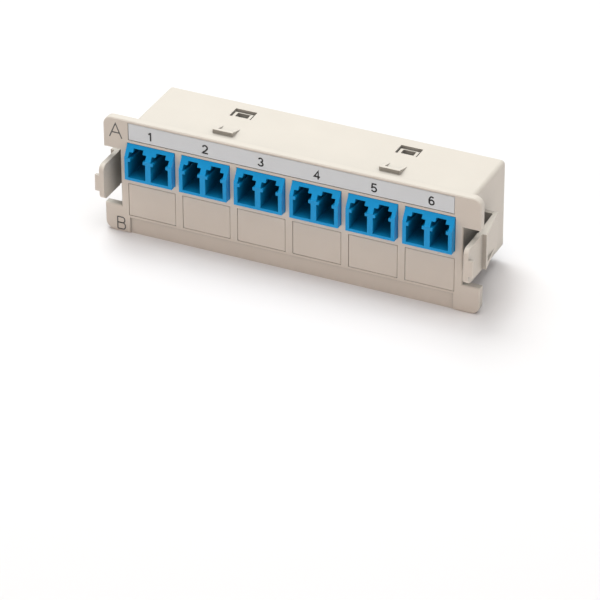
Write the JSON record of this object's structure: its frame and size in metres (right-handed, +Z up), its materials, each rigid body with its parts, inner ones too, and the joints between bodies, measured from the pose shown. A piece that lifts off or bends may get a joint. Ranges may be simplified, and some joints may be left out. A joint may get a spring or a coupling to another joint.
{
  "type": "fibre optic coupler module",
  "caption": "Panel insert with a row of duplex fibre couplers over a row of blanking plugs, in a shell with a sprung latch at each end.",
  "frame": {"origin": "centre of the panel plane: the rear face of the fascia's rim, at the middle of its width and height", "axes": "+X to the right along the face, +Y from the front to the rear, +Z up"},
  "size_m": [0.1016, 0.0326, 0.032],
  "materials": {
    "case_plastic": "fine satin moulding, warm grey-white",
    "coupler_blue": "satin moulding, bright blue",
    "label": "smooth light grey strip with black numbers",
    "zirconia": "polished white"
  },
  "bodies": {
    "module": {"front_frame": "case_plastic", "housing_shell": "case_plastic", "label_strip": "label", "coupler_1_front": "coupler_blue", "coupler_1_rear": "coupler_blue", "coupler_1_sleeve_left": "zirconia", "coupler_1_sleeve_right": "zirconia", "blanking_plug_1": "case_plastic", "coupler_2_front": "coupler_blue", "coupler_2_rear": "coupler_blue", "coupler_2_sleeve_left": "zirconia", "coupler_2_sleeve_right": "zirconia", "blanking_plug_2": "case_plastic", "coupler_3_front": "coupler_blue", "coupler_3_rear": "coupler_blue", "coupler_3_sleeve_left": "zirconia", "coupler_3_sleeve_right": "zirconia", "blanking_plug_3": "case_plastic", "coupler_4_front": "coupler_blue", "coupler_4_rear": "coupler_blue", "coupler_4_sleeve_left": "zirconia", "coupler_4_sleeve_right": "zirconia", "blanking_plug_4": "case_plastic", "coupler_5_front": "coupler_blue", "coupler_5_rear": "coupler_blue", "coupler_5_sleeve_left": "zirconia", "coupler_5_sleeve_right": "zirconia", "blanking_plug_5": "case_plastic", "coupler_6_front": "coupler_blue", "coupler_6_rear": "coupler_blue", "coupler_6_sleeve_left": "zirconia", "coupler_6_sleeve_right": "zirconia", "blanking_plug_6": "case_plastic"},
    "latch_left": {"latch_left": "case_plastic"},
    "latch_right": {"latch_right": "case_plastic"}
  },
  "joints": [
    {"name": "right_latch_squeeze", "type": "hinge", "parent": "module", "child": "latch_right", "pos_m": [0.04843, 0.01215, 0], "axis": [0, 0, -1], "range_deg": [0, 6.5], "stiffness_Nm_per_rad": 0.45},
    {"name": "left_latch_squeeze", "type": "hinge", "parent": "module", "child": "latch_left", "pos_m": [-0.04843, 0.01215, 0], "axis": [0, 0, 1], "range_deg": [0, 6.5], "stiffness_Nm_per_rad": 0.45}
  ]
}
